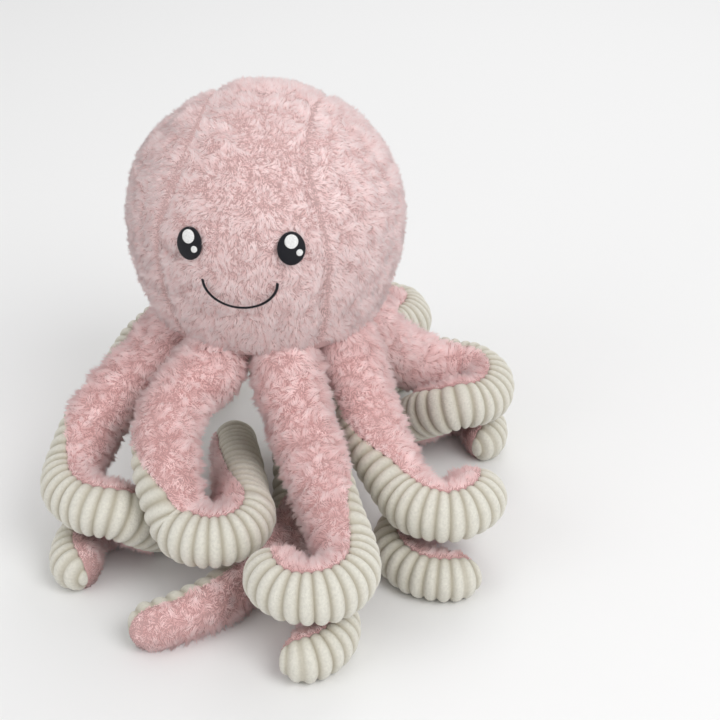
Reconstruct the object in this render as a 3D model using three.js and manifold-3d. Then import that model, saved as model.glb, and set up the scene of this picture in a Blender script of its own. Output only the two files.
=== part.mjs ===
// A plush octopus sitting on its curled arms. The head is four pile panels round a filling,
// closed below by a base panel, and eight stuffed arms are sewn on along the hem between them.
// Millimetres, +Z up, the face looks along -Y and the floor is at Z = 0.
import * as THREE from 'three';
import { mergeVertices } from 'three/addons/utils/BufferGeometryUtils.js';
import Module from 'manifold-3d';

const wasm = await Module();
wasm.setup();

// Head: a ball that is drawn in towards the hem
const HEAD_RADIUS = 113;
const HEAD_RISE = 103;
const HEM_DROP = 82;
const HEM_RADIUS = 92;
const HEM_HEIGHT = 158;
const HEM_TUCK = 0.8;
const HEAD_SEGMENTS = 32;
const OUTSIDE_RINGS = { cheek: 4, crown: 6 };
const INSIDE_RINGS = { cheek: 2, crown: 4 };

// Cloth thickness with its pile, and the play between pieces that are sewn together
const CLOTH = 3;
const SEAM_GAP = 0.3;
const WELD = 1e-4;

// Half widths of the middle panels, which run from the hem over the crown
const STRIP_AT_HEM = 54;
const STRIP_AT_EQUATOR = 65;
const STRIP_AT_CROWN = 40;
const STRIP_STEPS = 10;

// Base panel: a cone whose slope suits the arm roots, rounded at the bottom
const ROOT_DIP = THREE.MathUtils.degToRad(65);
const BASE_ROUNDING = 40;
const BASE_RINGS = 3;

// Face: stitched eyes with two highlights each, and a smile, turned a few degrees to the right
const FACE_TURN = 1.8;
const EYE_AZIMUTH = 20;
const EYE_HEIGHT = 17;
const EYE_WIDTH = 21;
const EYE_TALL = 24.5;
const SHINE_WIDTH = 10;
const SHINE_RISE = 6;
const SPARK_WIDTH = 5;
const SPARK_ASIDE = 5.5;
const SPARK_DROP = 2.5;
const SMILE_HALF_WIDTH = 28;
const SMILE_HEIGHT = -9;
const SMILE_DEPTH = 21;
const SMILE_LINE = 2.6;
const SMILE_SIDES = 4;
const STITCH = 1.2;
const STITCH_POINTS = 16;

// Arms: full at the root, fuller below it, slimmer in the curl and blunt at the tip
const ARM_LENGTH = 430;
const ROOT_FILL = 0.95;
const ARM_RADIUS = 25;
const CURL_RADIUS = 21;
const TIP_RADIUS = 18;
const SWELL_AT = 0.2;
const CURL_AT = 0.5;
const ARM_STEPS = 22;
const STEP_SHRINK = 0.35;
const TIP_RINGS = [0.35, 0.75, 0.97];
const FLOOR_CUT = 0.5;

// Curls: a turn lies level, then drops to the level below over the rest of its way round
const TURN_GAP = 1.5;
const LEVEL_TURN = 0.6;
const CURL_STEP = THREE.MathUtils.degToRad(30);
const TANGENT_STEP = THREE.MathUtils.degToRad(7.5);
const LEG_POINTS = 8;
const TAIL_POINTS = 3;
const LENGTH_PASSES = 8;
const CURVE_DIVISIONS = 600;
const SELF_GAP_STEP = 5;

// Shares of the way to the curl between which the ribbed side turns from below to outside
const TWIST_START = 0.1;
const TWIST_END = 0.95;

const PINK = 0xe6bcbc;
const ARM_PINK = 0xe4b2b3;
const CREAM = 0xe9e5d6;
const FILLING = 0xf2f0eb;
const STITCH_BLACK = 0x17171f;
const STITCH_WHITE = 0xf3f3f0;
const PILE_ROUGHNESS = 0.95;
const RIB_ROUGHNESS = 0.9;
const FILLING_ROUGHNESS = 1;
const STITCH_ROUGHNESS = 0.6;

// Each arm leaves the hem at its azimuth, seen from above with 0 at the face and + to the right.
// A curl has its centre, radius and hand (+1 turns anticlockwise from above), the angle at which
// the arm joins it, and the handles that shape the arm between hem and curl. Each turn can grow
// and drift aside. One arm lies over another and ends below the head, and one is tucked under.
const ARMS = [
  { name: 'front_left', azimuth: -22.5, centre: [-9, -178], radius: 25, hand: 1, join: 215,
    lead: 35, approach: 85, climb: 66, turn: 165, over: true },
  { name: 'front_right', azimuth: 22.5, centre: [78, -222], radius: 25, hand: -1, join: 30,
    lead: 70, approach: 60, climb: 10, drift: [-9, -15] },
  { name: 'left_fore', azimuth: -67.5, centre: [-106, -138], radius: 27, hand: 1, join: 180,
    lead: 30, approach: 85, climb: 20, grow: 10, drift: [18, -26] },
  { name: 'right_fore', azimuth: 67.5, centre: [155, -112], radius: 28, hand: 1, join: 220,
    lead: 50, approach: 55, climb: 10, grow: 6, drift: [2, -12] },
  { name: 'left_aft', azimuth: -112.5, centre: [-122, 110], radius: 43, hand: 1, join: 15,
    lead: 45, approach: 25, climb: 0 },
  { name: 'right_aft', azimuth: 112.5, centre: [150, 46], radius: 32, hand: -1, join: 105,
    lead: 45, approach: 40, climb: 0 },
  { name: 'rear_left', azimuth: -157.5, hand: -1, under: [[-20, 62, 0.68], [-8, 40, 0.5],
    [8, 10, 0.4], [23, -22, 0.3], [33, -58, 0.15], [38, -100, 0.01], [26, -158, 0], [-8, -220, 0],
    [-80, -276, 0]] },
  { name: 'rear_right', azimuth: 157.5, centre: [64, 160], radius: 32, hand: 1, join: 335,
    lead: 45, approach: 40, climb: 0 },
];

const degrees = THREE.MathUtils.degToRad;
const group = new THREE.Group();
const UP = new THREE.Vector3(0, 0, 1);
const EQUATOR = HEM_HEIGHT + HEM_DROP;

function addPiece(name, geometry, colour, roughness) {
  const material = new THREE.MeshStandardMaterial({ color: colour, roughness, metalness: 0 });
  const mesh = new THREE.Mesh(geometry, material);
  mesh.name = name;
  group.add(mesh);
}

// Joins vertices that meet and drops the faces that have no area at the ends of a revolve.
function joined(geometry) {
  const bare = geometry.clone();
  bare.deleteAttribute('normal');
  bare.deleteAttribute('uv');
  const merged = mergeVertices(bare, WELD);
  const kept = [];
  const index = merged.index.array;
  for (let i = 0; i < index.length; i += 3) {
    const [a, b, c] = [index[i], index[i + 1], index[i + 2]];
    if (a !== b && b !== c && c !== a) {
      kept.push(a, b, c);
    }
  }
  merged.setIndex(kept);
  return merged;
}

function toSolid(geometry) {
  const merged = joined(geometry);
  return new wasm.Manifold(new wasm.Mesh({
    numProp: 3,
    vertProperties: new Float32Array(merged.attributes.position.array),
    triVerts: new Uint32Array(merged.index.array),
  }));
}

function toGeometry(solid) {
  const mesh = solid.getMesh();
  const geometry = new THREE.BufferGeometry();
  geometry.setAttribute('position', new THREE.BufferAttribute(mesh.vertProperties, 3));
  geometry.setIndex([...mesh.triVerts]);
  geometry.computeVertexNormals();
  return geometry;
}

function fromPoints(points, faces) {
  const geometry = new THREE.BufferGeometry().setFromPoints(points);
  geometry.setIndex(faces);
  geometry.computeVertexNormals();
  return geometry;
}

function revolve(profile) {
  const points = profile.map(([r, z]) => new THREE.Vector2(r, z));
  return joined(new THREE.LatheGeometry(points, HEAD_SEGMENTS).rotateX(Math.PI / 2));
}

// Head radius at a height above the equator, on a surface that lies inside the cloth by inset.
function headRadius(height, inset) {
  const widest = HEAD_RADIUS - inset;
  if (height >= 0) {
    return widest * Math.sqrt(Math.max(0, 1 - (height / (HEAD_RISE - inset)) ** 2));
  }
  const hem = HEM_RADIUS - inset;
  const share = Math.cos((Math.PI / 2) * Math.min(1, -height / HEM_DROP));
  return hem + (widest - hem) * Math.max(0, share) ** HEM_TUCK;
}

// Points from the hem, or another low end, up to the crown.
function headProfile(inset, rings) {
  const profile = [];
  for (let i = 0; i < rings.cheek; i++) {
    const height = -HEM_DROP * (1 - i / rings.cheek);
    profile.push([headRadius(height, inset), EQUATOR + height]);
  }
  for (let i = 0; i <= rings.crown; i++) {
    const height = (HEAD_RISE - inset) * Math.sin((Math.PI / 2) * (i / rings.crown));
    profile.push([headRadius(height, inset), EQUATOR + height]);
  }
  profile[profile.length - 1][0] = 0;
  return profile;
}

// Points of the base panel from its middle out to the hem, raised by lift.
function baseProfile(rim, lift) {
  const slope = 1 / Math.tan(ROOT_DIP);
  const profile = [];
  for (let i = 0; i < BASE_RINGS; i++) {
    const r = BASE_ROUNDING * (i / BASE_RINGS);
    const sag = slope * (BASE_ROUNDING / 2 + (r * r) / (2 * BASE_ROUNDING));
    profile.push([r, HEM_HEIGHT - slope * HEM_RADIUS + sag + lift]);
  }
  profile.push([BASE_ROUNDING, HEM_HEIGHT - slope * (HEM_RADIUS - BASE_ROUNDING) + lift]);
  profile.push([rim, HEM_HEIGHT - slope * (HEM_RADIUS - rim) + lift]);
  return profile;
}

// Half width of the middle panels at a height above the equator.
function stripWidth(height) {
  if (height >= 0) {
    const share = Math.sin((Math.PI / 2) * Math.min(1, height / HEAD_RISE));
    return STRIP_AT_EQUATOR + (STRIP_AT_CROWN - STRIP_AT_EQUATOR) * share ** 2;
  }
  return STRIP_AT_EQUATOR + (STRIP_AT_HEM - STRIP_AT_EQUATOR) * (height / HEM_DROP) ** 2;
}

// A block that runs from front to back, with the middle panel's outline moved sideways by shift.
function stripBlock(shift, front, back) {
  const right = [];
  for (let i = 0; i <= STRIP_STEPS; i++) {
    const height = -HEM_DROP - CLOTH + (HEM_DROP + HEAD_RISE + 2 * CLOTH) * (i / STRIP_STEPS);
    right.push(new THREE.Vector2(stripWidth(height) + shift, EQUATOR + height));
  }
  const left = right.map((p) => new THREE.Vector2(-p.x, p.y)).reverse();
  const shape = new THREE.Shape([...right, ...left]);
  const block = new THREE.ExtrudeGeometry(shape, { depth: back - front, bevelEnabled: false });
  return toSolid(block.rotateX(Math.PI / 2).translate(0, back, 0));
}

function sideBlock(side) {
  const reach = 2 * HEAD_RADIUS;
  const block = new THREE.BoxGeometry(reach, 2 * reach, 2 * reach);
  return toSolid(block.translate((side * reach) / 2, 0, EQUATOR));
}

function makeHead() {
  const reach = 2 * HEAD_RADIUS;
  const lining = headProfile(CLOTH, INSIDE_RINGS).reverse();
  const shell = toSolid(revolve([...lining, ...headProfile(0, OUTSIDE_RINGS)]));
  const half = SEAM_GAP / 2;
  const outside = stripBlock(half, -reach, reach);
  addPiece('head_front_panel',
    toGeometry(shell.intersect(stripBlock(-half, -reach, -half))), PINK, PILE_ROUGHNESS);
  addPiece('head_back_panel',
    toGeometry(shell.intersect(stripBlock(-half, half, reach))), PINK, PILE_ROUGHNESS);
  addPiece('head_left_panel',
    toGeometry(shell.subtract(outside).intersect(sideBlock(-1))), PINK, PILE_ROUGHNESS);
  addPiece('head_right_panel',
    toGeometry(shell.subtract(outside).intersect(sideBlock(1))), PINK, PILE_ROUGHNESS);

  const thick = CLOTH / Math.sin(ROOT_DIP);
  const rim = HEM_RADIUS - CLOTH - SEAM_GAP;
  const base = [...baseProfile(rim, 0), ...baseProfile(rim, thick).reverse()];
  addPiece('base_panel', revolve(base), PINK, PILE_ROUGHNESS);

  const inset = CLOTH + SEAM_GAP;
  const floor = baseProfile(rim, thick + SEAM_GAP);
  const sides = headProfile(inset, INSIDE_RINGS).slice(1);
  addPiece('head_filling', revolve([...floor, ...sides]), FILLING, FILLING_ROUGHNESS);
}

// A point on the face, turn degrees round from its middle and height above the equator.
function onFace(turn, height, proud) {
  const angle = degrees(turn + FACE_TURN);
  const r = headRadius(height, 0) + proud;
  return new THREE.Vector3(r * Math.sin(angle), -r * Math.cos(angle), EQUATOR + height);
}

// A closed patch with this outline on the face, [turn, height] each, from low to high.
function facePatch(outline, middle, low, high) {
  const count = outline.length;
  const points = [];
  for (const proud of [low, high]) {
    points.push(onFace(...middle, proud));
    outline.forEach(([turn, height]) => points.push(onFace(turn, height, proud)));
  }
  const faces = [];
  const top = count + 1;
  for (let i = 0; i < count; i++) {
    const a = 1 + i;
    const b = 1 + ((i + 1) % count);
    faces.push(0, b, a, top, top + a, top + b);
    faces.push(a, b, top + b, a, top + b, top + a);
  }
  return fromPoints(points, faces);
}

function oval(turn, height, wide, tall) {
  const outline = [];
  const perMm = THREE.MathUtils.radToDeg(1 / headRadius(height, 0));
  for (let i = 0; i < STITCH_POINTS; i++) {
    const angle = (2 * Math.PI * i) / STITCH_POINTS;
    const aside = (wide / 2) * Math.cos(angle) * perMm;
    outline.push([turn + aside, height + (tall / 2) * Math.sin(angle)]);
  }
  return outline;
}

function makeFace() {
  const perMm = THREE.MathUtils.radToDeg(1 / HEAD_RADIUS);
  const bed = SEAM_GAP + STITCH + SEAM_GAP;
  for (const [side, sign] of [['left', -1], ['right', 1]]) {
    const turn = sign * EYE_AZIMUTH;
    addPiece(`${side}_eye`, facePatch(oval(turn, EYE_HEIGHT, EYE_WIDTH, EYE_TALL),
      [turn, EYE_HEIGHT], SEAM_GAP, SEAM_GAP + STITCH), STITCH_BLACK, STITCH_ROUGHNESS);
    const shineAt = EYE_HEIGHT + SHINE_RISE;
    addPiece(`${side}_eye_shine`, facePatch(oval(turn, shineAt, SHINE_WIDTH, SHINE_WIDTH),
      [turn, shineAt], bed, bed + STITCH / 2), STITCH_WHITE, STITCH_ROUGHNESS);
    const spark = [turn + SPARK_ASIDE * perMm, EYE_HEIGHT - SPARK_DROP];
    addPiece(`${side}_eye_spark`, facePatch(oval(...spark, SPARK_WIDTH, SPARK_WIDTH),
      spark, bed, bed + STITCH / 2), STITCH_WHITE, STITCH_ROUGHNESS);
  }
  addPiece('smile', makeSmile(perMm), STITCH_BLACK, STITCH_ROUGHNESS);
}

// The smile is a stitched line along part of an oval.
function makeSmile(perMm) {
  const points = [];
  const faces = [];
  for (let i = 0; i <= STITCH_POINTS; i++) {
    const along = -1 + (2 * i) / STITCH_POINTS;
    const bend = degrees(90 * along);
    const turn = SMILE_HALF_WIDTH * Math.sin(bend) * perMm;
    const height = SMILE_HEIGHT - SMILE_DEPTH * Math.cos(bend);
    const across = new THREE.Vector2(SMILE_DEPTH * Math.sin(bend),
      -SMILE_HALF_WIDTH * Math.cos(bend)).normalize().multiplyScalar(SMILE_LINE / 2);
    for (const [sign, proud] of [[1, SEAM_GAP], [1, SEAM_GAP + STITCH],
      [-1, SEAM_GAP + STITCH], [-1, SEAM_GAP]]) {
      points.push(onFace(turn + sign * across.x * perMm, height + sign * across.y, proud));
    }
  }
  for (let i = 0; i < STITCH_POINTS; i++) {
    for (let j = 0; j < SMILE_SIDES; j++) {
      const a = SMILE_SIDES * i + j;
      const b = SMILE_SIDES * i + ((j + 1) % SMILE_SIDES);
      faces.push(a, b + SMILE_SIDES, b, a, a + SMILE_SIDES, b + SMILE_SIDES);
    }
  }
  const last = SMILE_SIDES * STITCH_POINTS;
  faces.push(0, 1, 2, 0, 2, 3, last, last + 2, last + 1, last, last + 3, last + 2);
  return fromPoints(points, faces);
}

// The arm roots fill the hem, each as wide as leaves the seam gap to the next.
const CHORD = 2 * Math.sin(Math.PI / ARMS.length);
const ROOT_ROOM = (CHORD * HEM_RADIUS - SEAM_GAP) / (2 + CHORD * Math.sin(ROOT_DIP));
const ROOT_RADIUS = ROOT_FILL * ROOT_ROOM;

// Arm radius at a distance from the root.
function armRadius(along) {
  const share = along / ARM_LENGTH;
  const blend = (from, to, start, end) => from
    + (to - from) * THREE.MathUtils.smoothstep(share, start, end);
  if (share < SWELL_AT) {
    return blend(ROOT_RADIUS, ARM_RADIUS, 0, SWELL_AT);
  }
  return share < CURL_AT ? blend(ARM_RADIUS, CURL_RADIUS, SWELL_AT, CURL_AT)
    : blend(CURL_RADIUS, TIP_RADIUS, CURL_AT, 1);
}

// Sections: eight sides with flats at the seams, so that a curl can lie on a flat side.
const SIDES = 8;
const FLAT = Math.cos(Math.PI / SIDES);
const OUTER = [[-90, FLAT], [-67.5, 1], [-22.5, 1], [22.5, 1], [67.5, 1], [90, FLAT]];
const INNER = [[-90, 1], [-30, 1], [30, 1], [90, 1]];
const FILL_SIDES = 6;

// Height of an arm's middle where it lies on the floor.
function lyingHeight(along) {
  return armRadius(along) * FLAT - FLOOR_CUT;
}

// Height gained over the floor with this many turns still to go.
function curlRise(turnsLeft) {
  const whole = Math.floor(turnsLeft);
  const drop = THREE.MathUtils.smoothstep(turnsLeft - whole, LEVEL_TURN, 1);
  return (2 * CURL_RADIUS + TURN_GAP) * (whole + drop);
}

function rootOf(arm) {
  const angle = degrees(arm.azimuth);
  const out = new THREE.Vector3(Math.sin(angle), -Math.cos(angle), 0);
  const heading = out.clone().multiplyScalar(Math.cos(ROOT_DIP))
    .addScaledVector(UP, -Math.sin(ROOT_DIP));
  const below = out.clone().multiplyScalar(-Math.sin(ROOT_DIP))
    .addScaledVector(UP, -Math.cos(ROOT_DIP));
  const start = out.clone().multiplyScalar(HEM_RADIUS).addScaledVector(UP, HEM_HEIGHT)
    .addScaledVector(below, ROOT_RADIUS).addScaledVector(heading, SEAM_GAP);
  return { out, heading, below, start };
}

// Length of a curl over a number of turns.
function curlLength(arm, turns) {
  return 2 * Math.PI * turns * (arm.radius + ((arm.grow ?? 0) * turns) / 2);
}

// The route of a curled arm: a curve from the hem to the curl, then turns down to the floor.
function curledRoute(arm, root, turns) {
  const join = degrees(arm.join);
  const drift = arm.drift ?? [0, 0];
  const limit = arm.turn ? degrees(arm.turn) : 2 * Math.PI * turns;
  const legLength = ARM_LENGTH - curlLength(arm, turns);
  const at = (angle) => {
    const turned = angle / (2 * Math.PI);
    const phi = join + arm.hand * angle;
    const radius = arm.radius + (arm.grow ?? 0) * turned;
    const along = legLength + curlLength(arm, turned);
    const resting = lyingHeight(along) + curlRise(turns - turned);
    const raised = 2 * CURL_RADIUS + armRadius(along) + TURN_GAP;
    return new THREE.Vector3(
      arm.centre[0] + drift[0] * turned + radius * Math.cos(phi),
      arm.centre[1] + drift[1] * turned + radius * Math.sin(phi),
      arm.over ? raised : resting);
  };
  const entry = at(0);
  const entering = at(TANGENT_STEP).sub(entry).normalize();
  const handle = entry.clone().addScaledVector(entering, -arm.approach);
  handle.z += arm.climb;
  const leg = new THREE.CubicBezierCurve3(root.start,
    root.start.clone().addScaledVector(root.heading, arm.lead), handle, entry);
  const points = leg.getSpacedPoints(LEG_POINTS);
  for (let angle = CURL_STEP; angle < limit; angle += CURL_STEP) {
    points.push(at(angle));
  }
  const end = at(limit);
  const leaving = end.clone().sub(at(limit - TANGENT_STEP)).normalize();
  points.push(end);
  const tail = arm.turn ? ARM_LENGTH - leg.getLength() - limit * arm.radius : CURL_RADIUS;
  const fall = arm.turn ? lyingHeight(ARM_LENGTH) - end.z : 0;
  for (let i = 1; i <= TAIL_POINTS; i++) {
    const share = i / TAIL_POINTS;
    const reach = end.clone().addScaledVector(leaving, tail * share);
    points.push(reach.addScaledVector(UP, fall * share));
  }
  return { points, leg: leg.getLength() };
}

// The route of the arm that runs below the head and out at the front, along the floor.
function tuckedRoute(arm, root) {
  const points = [root.start, root.start.clone().addScaledVector(root.heading, ROOT_RADIUS / 2)];
  let along = ROOT_RADIUS;
  for (const [x, y, share] of arm.under) {
    const last = points[points.length - 1];
    along += Math.hypot(x - last.x, y - last.y);
    const low = lyingHeight(Math.min(ARM_LENGTH, along + HEM_HEIGHT));
    points.push(new THREE.Vector3(x, y, low + (HEM_HEIGHT - low) * share));
  }
  return { points };
}

// Finds how many turns use up the arm's length.
function routeOf(arm, root) {
  if (arm.under) {
    return tuckedRoute(arm, root);
  }
  let turns = 1;
  let route;
  for (let pass = 0; pass < LENGTH_PASSES; pass++) {
    route = curledRoute(arm, root, turns);
    turns *= (ARM_LENGTH - route.leg) / curlLength(arm, turns);
  }
  return route;
}

// Middle points and directions along an arm, at a distance from its root.
function alongArm(arm) {
  const root = rootOf(arm);
  const route = routeOf(arm, root);
  const curve = new THREE.CatmullRomCurve3(route.points, false, 'centripetal');
  curve.arcLengthDivisions = CURVE_DIVISIONS;
  const length = curve.getLength();
  const centre = arm.centre ? new THREE.Vector3(...arm.centre, 0) : null;
  return (distance) => {
    const u = Math.min(1, distance / length);
    const place = curve.getPointAt(u);
    const tangent = distance > 0 ? curve.getTangentAt(u) : root.heading.clone();
    const aim = creamSide(arm, root, centre, place, tangent, distance / (route.leg ?? length));
    const cream = aim.addScaledVector(tangent, -aim.dot(tangent)).normalize();
    return { place, tangent, cream, side: tangent.clone().cross(cream) };
  };
}

// Where the ribbed side faces: inward at the root, and out of the curl further on.
function creamSide(arm, root, centre, place, tangent, share) {
  const turned = THREE.MathUtils.smoothstep(share, TWIST_START, TWIST_END);
  const outward = centre ? place.clone().sub(centre).setZ(0).normalize()
    : new THREE.Vector3(tangent.y, -tangent.x, 0).normalize();
  return root.below.clone().multiplyScalar(1 - turned).addScaledVector(outward, turned);
}

// Distances and radii of the rings of an arm, or of what lies inside it by inset.
function armRings(inset) {
  const end = ARM_LENGTH - inset;
  const round = TIP_RADIUS - inset;
  const rings = [];
  for (let i = 0; i <= ARM_STEPS; i++) {
    const share = i / ARM_STEPS;
    const along = (end - round) * share * (1 + STEP_SHRINK * (1 - share));
    rings.push([along, armRadius(along) - inset]);
  }
  for (const share of TIP_RINGS) {
    rings.push([end - round + round * share, round * Math.sqrt(1 - share * share)]);
  }
  return rings;
}

function sectionPoint(frame, radius, angle, apart) {
  return frame.place.clone()
    .addScaledVector(frame.cream, radius * Math.cos(angle) + apart)
    .addScaledVector(frame.side, radius * Math.sin(angle));
}

// Four corners as two triangles, split along the diagonal that suits the hand of the curl.
function split(a, b, c, d, hand) {
  return hand > 0 ? [a, b, c, a, c, d] : [b, c, d, b, d, a];
}

// Half of an arm's cover: an outer and an inner skin, joined along the seams and closed at the ends.
function makeCover(frameAt, hand, facing) {
  const start = facing > 0 ? 0 : 180;
  const apart = (facing * SEAM_GAP) / 2;
  const points = [];
  const skins = [[0, OUTER], [CLOTH, INNER]].map(([inset, section]) => armRings(inset)
    .map(([along, radius]) => section.map(([angle, share]) => {
      const frame = frameAt(along);
      const point = sectionPoint(frame, radius * share, degrees(start + angle), apart);
      point.z = Math.max(point.z, inset);
      return points.push(point) - 1;
    })));
  const [outer, inner] = skins;
  const faces = [];
  const quad = (a, b, c, d, turn) => faces.push(...split(a, b, c, d, turn));
  const last = outer.length - 1;
  for (let i = 0; i < last; i++) {
    for (let j = 0; j + 1 < OUTER.length; j++) {
      quad(outer[i][j], outer[i][j + 1], outer[i + 1][j + 1], outer[i + 1][j], hand);
    }
    for (let j = 0; j + 1 < INNER.length; j++) {
      quad(inner[i][j + 1], inner[i][j], inner[i + 1][j], inner[i + 1][j + 1], -hand);
    }
    const [m, n] = [OUTER.length - 1, INNER.length - 1];
    quad(inner[i][0], outer[i][0], outer[i + 1][0], inner[i + 1][0], hand);
    quad(outer[i][m], inner[i][n], inner[i + 1][n], outer[i + 1][m], -hand);
  }
  closeRoot(faces, outer[0], inner[0]);
  closeTip(faces, outer[last], inner[last]);
  return fromPoints(points, faces);
}

// Fills the end of a cover between its two skins.
function closeRoot(faces, outer, inner) {
  let [i, j] = [0, 0];
  while (i + 1 < outer.length || j + 1 < inner.length) {
    const outerNext = (i + 1) / (outer.length - 1);
    const innerNext = (j + 1) / (inner.length - 1);
    if (j + 1 >= inner.length || (i + 1 < outer.length && outerNext <= innerNext)) {
      faces.push(outer[i + 1], outer[i], inner[j]);
      i += 1;
    } else {
      faces.push(outer[i], inner[j], inner[j + 1]);
      j += 1;
    }
  }
}

function closeTip(faces, outer, inner) {
  for (let j = 1; j + 1 < outer.length; j++) {
    faces.push(outer[0], outer[j], outer[j + 1]);
  }
  for (let j = 1; j + 1 < inner.length; j++) {
    faces.push(inner[0], inner[j + 1], inner[j]);
  }
  const [a, b] = [outer[0], outer[outer.length - 1]];
  const [c, d] = [inner[inner.length - 1], inner[0]];
  faces.push(a, b, c, a, c, d);
}

function makeFilling(frameAt, hand) {
  const points = [];
  const inset = CLOTH + SEAM_GAP;
  const rings = armRings(inset).map(([along, radius]) => {
    const frame = frameAt(along);
    const ring = [];
    for (let j = 0; j < FILL_SIDES; j++) {
      const point = sectionPoint(frame, radius, (Math.PI * (2 * j + 1)) / FILL_SIDES, 0);
      point.z = Math.max(point.z, inset);
      ring.push(points.push(point) - 1);
    }
    return ring;
  });
  const faces = [];
  for (let i = 0; i + 1 < rings.length; i++) {
    for (let j = 0; j < FILL_SIDES; j++) {
      const k = (j + 1) % FILL_SIDES;
      const [a, b] = [rings[i][j], rings[i][k]];
      const [c, d] = [rings[i + 1][k], rings[i + 1][j]];
      faces.push(...split(a, b, c, d, hand));
    }
  }
  const [first, last] = [rings[0], rings[rings.length - 1]];
  for (let j = 1; j + 1 < FILL_SIDES; j++) {
    faces.push(first[0], first[j + 1], first[j], last[0], last[j], last[j + 1]);
  }
  return fromPoints(points, faces);
}

// Least clearance between parts of an arm that are more than half a turn apart.
function leastSelfGap(frameAt) {
  const apart = Math.PI * CURL_RADIUS;
  const middles = [];
  for (let along = 0; along <= ARM_LENGTH; along += SELF_GAP_STEP) {
    middles.push([along, frameAt(along).place]);
  }
  let least = Infinity;
  for (const [a, p] of middles) {
    for (const [b, q] of middles) {
      if (b - a > apart) {
        least = Math.min(least, p.distanceTo(q) - armRadius(a) - armRadius(b));
      }
    }
  }
  return least;
}

makeHead();
makeFace();
for (const arm of ARMS) {
  const frameAt = alongArm(arm);
  addPiece(`${arm.name}_arm_top`, makeCover(frameAt, arm.hand, -1), ARM_PINK, PILE_ROUGHNESS);
  addPiece(`${arm.name}_arm_underside`, makeCover(frameAt, arm.hand, 1), CREAM, RIB_ROUGHNESS);
  addPiece(`${arm.name}_arm_filling`, makeFilling(frameAt, arm.hand), FILLING, FILLING_ROUGHNESS);
  console.log(`${arm.name} arm: least gap to itself ${leastSelfGap(frameAt).toFixed(2)} mm`);
}

// The origin lies on the floor below the middle of the whole outline.
const box = new THREE.Box3().setFromObject(group);
const middle = box.getCenter(new THREE.Vector3());
group.position.set(-middle.x, -middle.y, 0);

export default group;
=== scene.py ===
"""A plush octopus: pile head, eight curled arms with ribbed undersides, stitched face.

Sizes are in millimetres, as the solids were drawn, and meshes are written in metres.
"""
import math

import bpy
import numpy as np
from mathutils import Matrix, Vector
from mathutils.kdtree import KDTree


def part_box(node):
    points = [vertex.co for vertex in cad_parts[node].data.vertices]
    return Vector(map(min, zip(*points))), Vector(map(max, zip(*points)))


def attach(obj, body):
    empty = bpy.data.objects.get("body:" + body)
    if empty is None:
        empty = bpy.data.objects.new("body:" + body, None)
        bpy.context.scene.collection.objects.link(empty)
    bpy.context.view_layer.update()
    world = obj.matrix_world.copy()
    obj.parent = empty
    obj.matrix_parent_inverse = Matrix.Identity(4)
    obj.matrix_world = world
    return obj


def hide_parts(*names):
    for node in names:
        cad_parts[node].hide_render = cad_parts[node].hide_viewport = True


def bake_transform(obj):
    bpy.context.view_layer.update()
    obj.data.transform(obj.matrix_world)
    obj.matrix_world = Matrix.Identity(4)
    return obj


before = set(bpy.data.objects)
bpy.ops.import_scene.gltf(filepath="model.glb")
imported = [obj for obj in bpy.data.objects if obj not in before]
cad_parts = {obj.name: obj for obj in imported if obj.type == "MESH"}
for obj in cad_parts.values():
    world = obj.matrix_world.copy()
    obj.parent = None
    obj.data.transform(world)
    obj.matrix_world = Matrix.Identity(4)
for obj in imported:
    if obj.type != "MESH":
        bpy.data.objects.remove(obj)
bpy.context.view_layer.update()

MM = 0.001
RNG = np.random.default_rng(11)

# Head: a ball drawn in towards the hem
HEAD_RADIUS = 113
HEAD_RISE = 103
HEM_DROP = 82
HEM_RADIUS = 92
HEM_HEIGHT = 158
HEM_TUCK = 0.8
EQUATOR = HEM_HEIGHT + HEM_DROP
STRIP_AT_HEM = 54
STRIP_AT_EQUATOR = 65
STRIP_AT_CROWN = 40
ROOT_DIP = math.radians(65)

# Face, turned a few degrees to the right
FACE_TURN = 1.8
EYE_AZIMUTH = 20
EYE_HEIGHT = 17
EYE_SIZE = (21, 24.5)
SHINE_SIZE = (10, 10)
SHINE_RISE = 6
SPARK_SIZE = (5, 5)
SPARK_ASIDE = 5.5
SPARK_DROP = 2.5
EYE_LOW = -0.4
EYE_THICK = 1.6
SHINE_LOW = 1.2
SHINE_THICK = 0.9
SMILE_HALF_WIDTH = 28
SMILE_HEIGHT = -9
SMILE_DEPTH = 21
SMILE_LINE = 2.6
SMILE_STITCHES = 84
THREAD = 0.8

# Arms
ARM_LENGTH = 430
ROOT_FILL = 0.95
SEAM_GAP = 0.3
ARM_RADIUS = 25
CURL_RADIUS = 21
TIP_RADIUS = 18
SWELL_AT = 0.2
CURL_AT = 0.5
FLOOR_CUT = 0.5
SIDES = 8
FLAT = math.cos(math.pi / SIDES)
TURN_GAP = 1.5
LEVEL_TURN = 0.6
CURL_STEP = math.radians(30)
TANGENT_STEP = math.radians(7.5)
LEG_POINTS = 8
TAIL_POINTS = 3
LENGTH_PASSES = 8
TWIST = (0.1, 0.95)

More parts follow.
